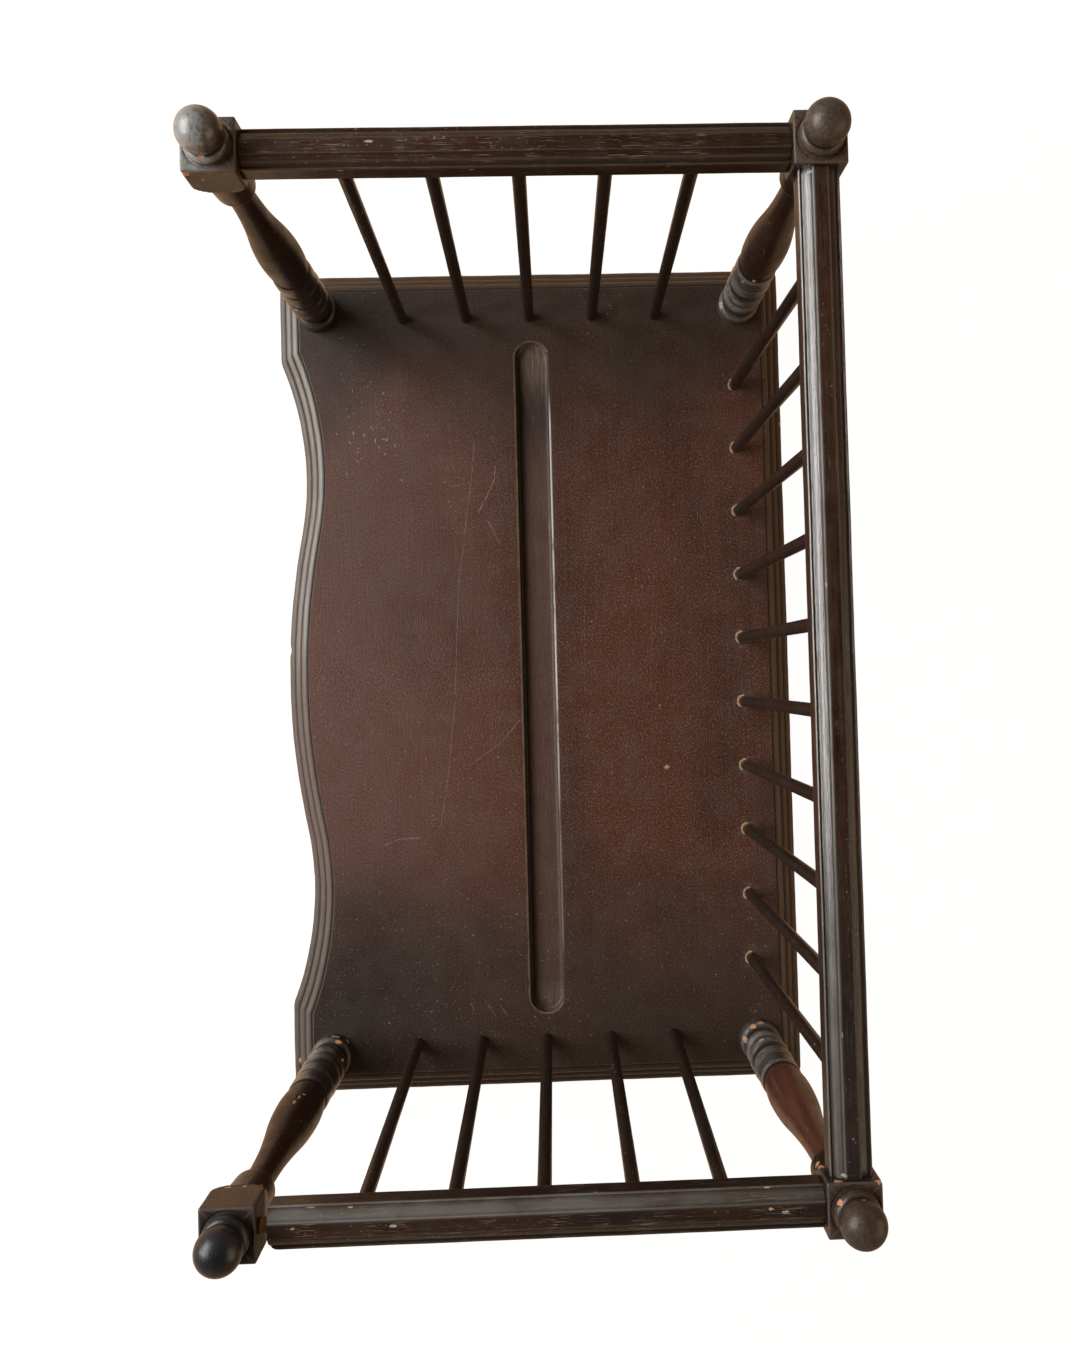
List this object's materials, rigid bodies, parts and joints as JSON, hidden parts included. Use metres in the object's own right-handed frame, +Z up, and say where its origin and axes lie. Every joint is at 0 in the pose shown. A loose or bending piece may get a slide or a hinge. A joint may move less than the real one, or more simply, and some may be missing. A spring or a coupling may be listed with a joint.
{
  "type": "book holder",
  "caption": "Free-standing dark wood book holder: a moulded base board with a serpentine open front, turned corner posts, and spindle galleries at the back and both ends.",
  "frame": {"origin": "centre of the bounding box, on the underside of the base board", "axes": "+X along the board's length, +Y towards the back gallery, so the open front faces -Y, +Z up"},
  "size_m": [0.492, 0.305, 0.2459],
  "materials": {
    "board_wood": "dark red-brown stain, worn satin varnish",
    "turned_wood": "dark brown stain, satin varnish",
    "rail_wood": "dark brown stain, satin varnish",
    "dowel_wood": "bare wood"
  },
  "bodies": {
    "root": {"base_board": "board_wood", "post_front_left": "turned_wood", "post_front_right": "turned_wood", "post_back_left": "turned_wood", "post_back_right": "turned_wood", "rail_left": "rail_wood", "rail_right": "rail_wood", "rail_back": "rail_wood", "spindle_left_1": "turned_wood", "spindle_left_2": "turned_wood", "spindle_left_3": "turned_wood", "spindle_left_4": "turned_wood", "spindle_left_5": "turned_wood", "spindle_right_1": "turned_wood", "spindle_right_2": "turned_wood", "spindle_right_3": "turned_wood", "spindle_right_4": "turned_wood", "spindle_right_5": "turned_wood", "spindle_back_1": "turned_wood", "spindle_back_2": "turned_wood", "spindle_back_3": "turned_wood", "spindle_back_4": "turned_wood", "spindle_back_5": "turned_wood", "spindle_back_6": "turned_wood", "spindle_back_7": "turned_wood", "spindle_back_8": "turned_wood", "spindle_back_9": "turned_wood", "spindle_back_10": "turned_wood", "rail_dowels": "dowel_wood"}
  },
  "joints": []
}
